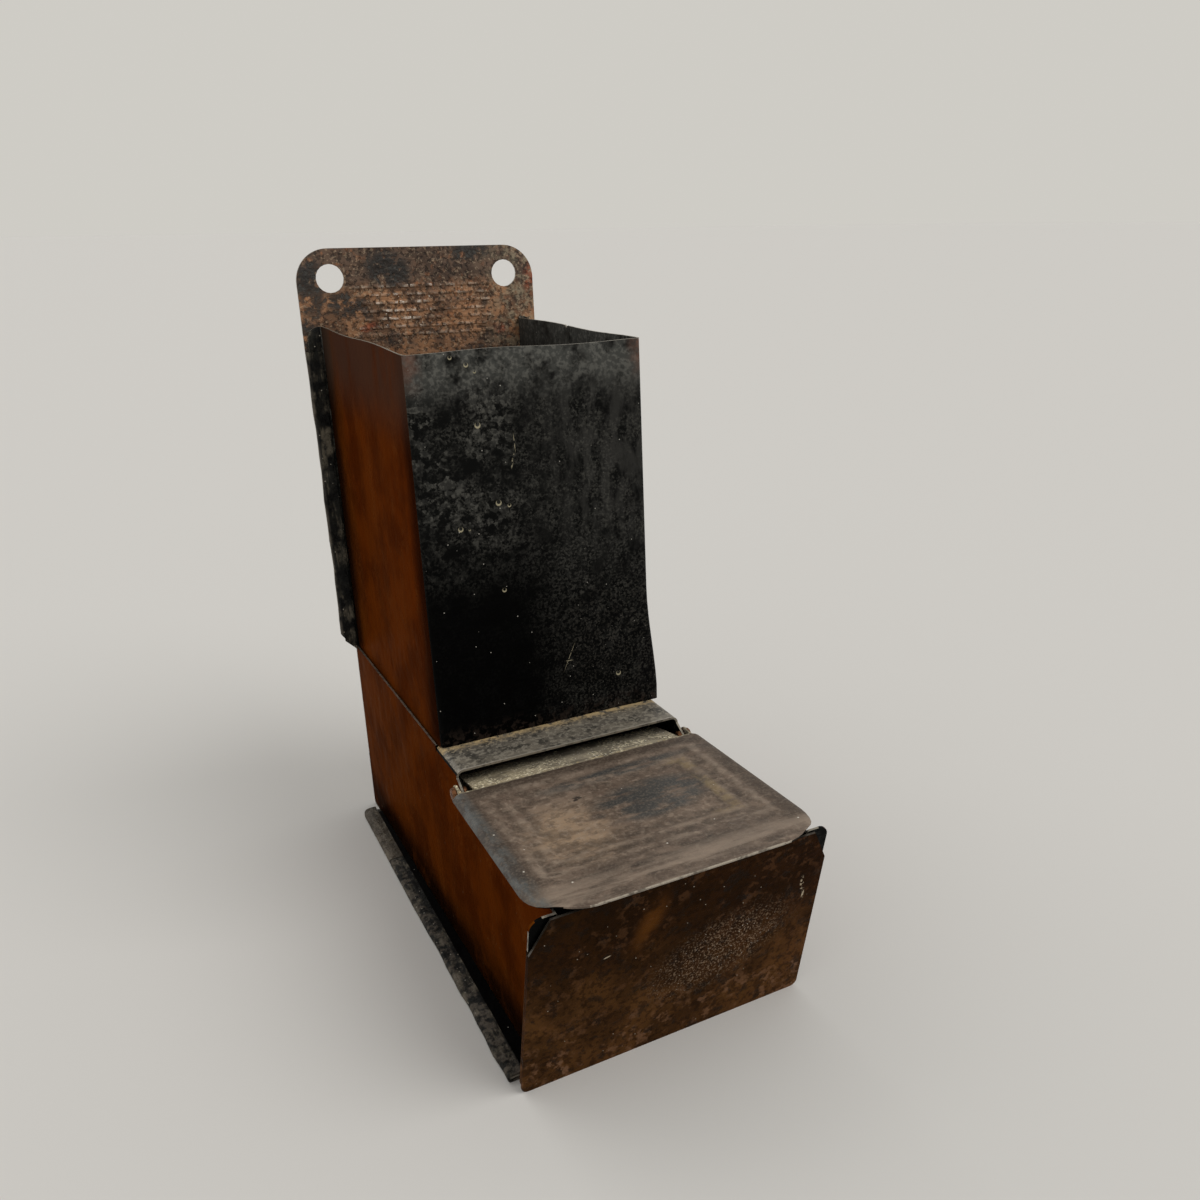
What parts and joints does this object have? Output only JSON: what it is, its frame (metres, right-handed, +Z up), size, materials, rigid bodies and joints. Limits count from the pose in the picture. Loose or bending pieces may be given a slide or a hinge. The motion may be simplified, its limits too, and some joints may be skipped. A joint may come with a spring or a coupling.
{
  "type": "match holder",
  "caption": "Wall match holder in sheet metal: open hopper before a back plate with striker and hanging holes, feeding a low tray with a hinged lid.",
  "frame": {"origin": "on the ground, in the middle of the part's width and depth", "axes": "+Z up along the back plate, -Y to the front where the lid opens, +X to the right seen from the rear of the lid looking at the wall"},
  "size_m": [0.0836, 0.1722, 0.1884],
  "materials": {
    "rusted_japan": "black japan worn through to rust brown, matt with dark patches",
    "black_japan": "aged semi-gloss black japan, mottled grey",
    "tray_japan": "aged semi-gloss brown-black japan",
    "rough_japan": "rough matt black japan",
    "bronze_japan": "dark bronze-brown japan with worn specks",
    "dulled_japan": "brown-grey worn japan with a rust haze",
    "copper_rivet": "tarnished copper"
  },
  "bodies": {
    "holder": {"back_plate": "rusted_japan", "hopper": "black_japan", "tray_body": "tray_japan", "floor_plate": "rough_japan", "front_plate": "bronze_japan", "left_hinge_rivet": "copper_rivet", "right_hinge_rivet": "copper_rivet"},
    "lid": {"lid": "dulled_japan"}
  },
  "joints": [
    {"name": "lid_hinge", "type": "hinge", "parent": "holder", "child": "lid", "pos_m": [0, -0.02095, 0.0555], "axis": [-1, 0, 0], "range_deg": [0, 93]}
  ]
}
